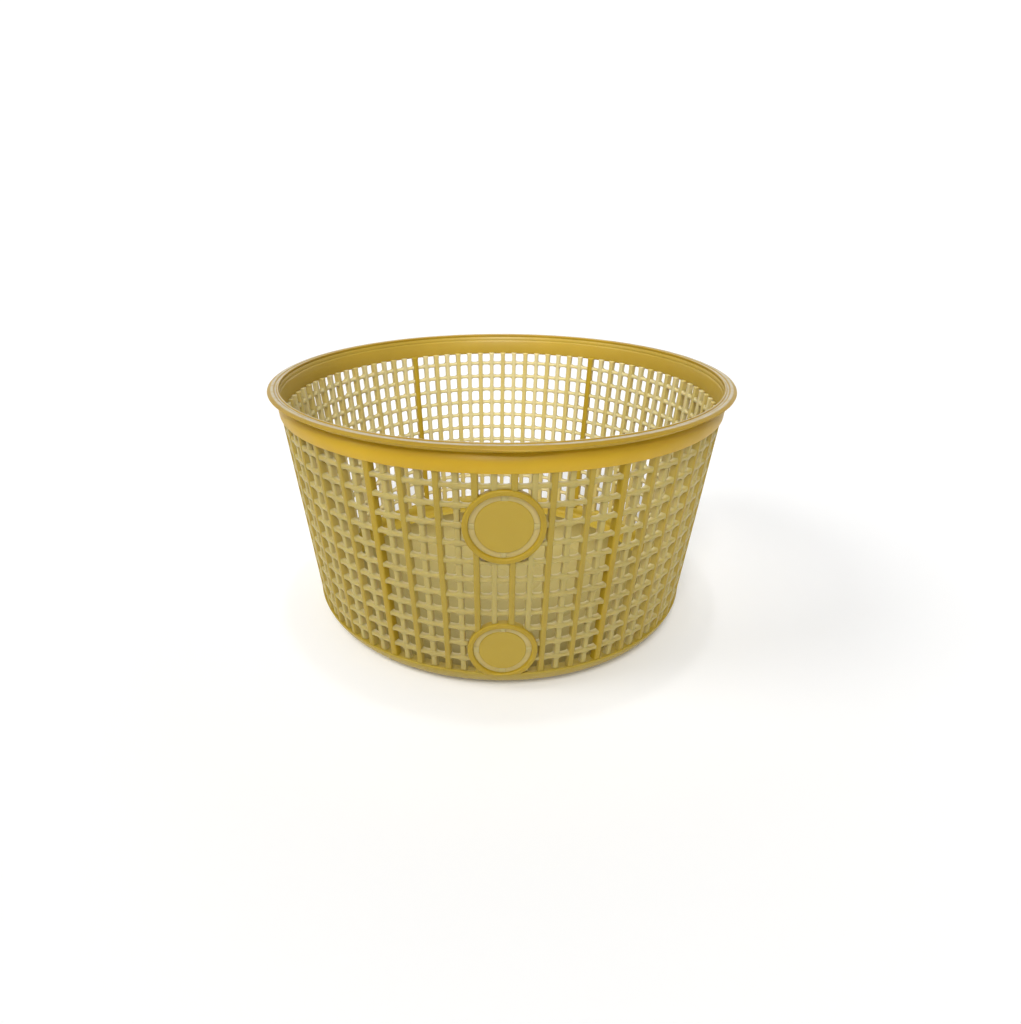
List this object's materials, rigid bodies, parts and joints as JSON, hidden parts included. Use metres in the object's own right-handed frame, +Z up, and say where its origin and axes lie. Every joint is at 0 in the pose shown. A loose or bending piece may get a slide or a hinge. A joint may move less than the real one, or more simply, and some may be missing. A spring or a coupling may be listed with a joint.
{
  "type": "mesh strainer basket",
  "caption": "Round moulded plastic mesh basket with a flared lip, a plain band, a rib-and-hoop wall, a closed floor and two round knock-out ports in its side.",
  "frame": {"origin": "centre of the flat face that the basket rests on", "axes": "+Z up along the basket's axis towards the open rim, the two ports face -Y"},
  "size_m": [0.2, 0.2, 0.106],
  "materials": {
    "lip_plastic": "semi-gloss moulded polypropylene, thin and paler, with a worn edge",
    "rim_plastic": "semi-gloss moulded polypropylene, thick and saturated",
    "rib_plastic": "semi-gloss moulded polypropylene",
    "mesh_plastic": "semi-gloss moulded polypropylene, thin and slightly translucent",
    "base_plastic": "semi-gloss moulded polypropylene",
    "disc_plastic": "smooth semi-gloss moulded polypropylene"
  },
  "bodies": {
    "root": {"rim_lip": "lip_plastic", "rim_flare": "rim_plastic", "rim_band": "rim_plastic", "heavy_ribs": "rim_plastic", "strong_ribs": "rib_plastic", "light_ribs": "mesh_plastic", "wall_hoops": "mesh_plastic", "base_corner": "base_plastic", "base_floor": "base_plastic", "foot_ring": "base_plastic", "gate_mark": "base_plastic", "upper_port_ring": "rib_plastic", "upper_port_disc": "disc_plastic", "upper_port_webs": "disc_plastic", "lower_port_ring": "rib_plastic", "lower_port_disc": "disc_plastic", "lower_port_webs": "disc_plastic"}
  },
  "joints": []
}
